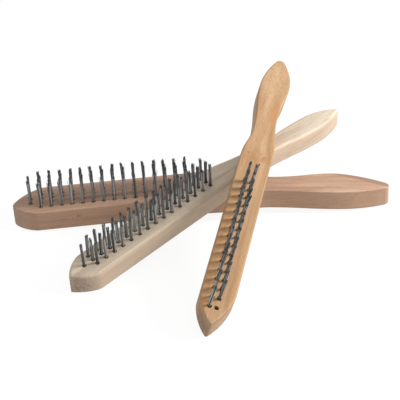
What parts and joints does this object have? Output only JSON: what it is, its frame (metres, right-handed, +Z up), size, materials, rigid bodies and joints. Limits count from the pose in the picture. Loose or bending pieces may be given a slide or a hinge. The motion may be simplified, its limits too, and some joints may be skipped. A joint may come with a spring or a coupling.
{
  "type": "wire scratch brush set",
  "caption": "Crossing stack of wooden-handled steel-wire scratch brushes of different widths, bristles up, each with a bent handle and rows of tufts in drilled holes.",
  "frame": {"origin": "middle of the stack's bounding box, on the ground that it lies on", "axes": "+X along the wide brush from its nose to the end of its handle, +Y away from the narrow brush's nose, +Z up out of the bristles"},
  "size_m": [0.2944, 0.2836, 0.0791],
  "materials": {
    "wide_handle_wood": "bare brown beech, fine sanded",
    "middle_handle_wood": "bare pale beech, fine sanded",
    "narrow_handle_wood": "bare golden beech, fine sanded",
    "bristle_wire": "drawn steel wire, dull",
    "anchor_wire": "flat drawn wire, bright"
  },
  "bodies": {
    "wide_brush": {"wide_brush_handle": "wide_handle_wood", "wide_brush_tuft_row_1": "bristle_wire", "wide_brush_anchor_row_1": "anchor_wire", "wide_brush_tuft_row_2": "bristle_wire", "wide_brush_anchor_row_2": "anchor_wire", "wide_brush_tuft_row_3": "bristle_wire", "wide_brush_anchor_row_3": "anchor_wire", "wide_brush_tuft_row_4": "bristle_wire", "wide_brush_anchor_row_4": "anchor_wire"},
    "middle_brush": {"middle_brush_handle": "middle_handle_wood", "middle_brush_tuft_row_1": "bristle_wire", "middle_brush_anchor_row_1": "anchor_wire", "middle_brush_tuft_row_2": "bristle_wire", "middle_brush_anchor_row_2": "anchor_wire", "middle_brush_tuft_row_3": "bristle_wire", "middle_brush_anchor_row_3": "anchor_wire"},
    "narrow_brush": {"narrow_brush_handle": "narrow_handle_wood", "narrow_brush_tuft_row_1": "bristle_wire", "narrow_brush_anchor_row_1": "anchor_wire", "narrow_brush_tuft_row_2": "bristle_wire", "narrow_brush_anchor_row_2": "anchor_wire"}
  },
  "joints": [
    {"name": "middle_brush_lift", "type": "slide", "parent": "wide_brush", "child": "middle_brush", "axis": [0, 0, 1], "range_m": [0, 0.1]},
    {"name": "narrow_brush_lift", "type": "slide", "parent": "middle_brush", "child": "narrow_brush", "axis": [0, 0, 1], "range_m": [0, 0.1]}
  ]
}
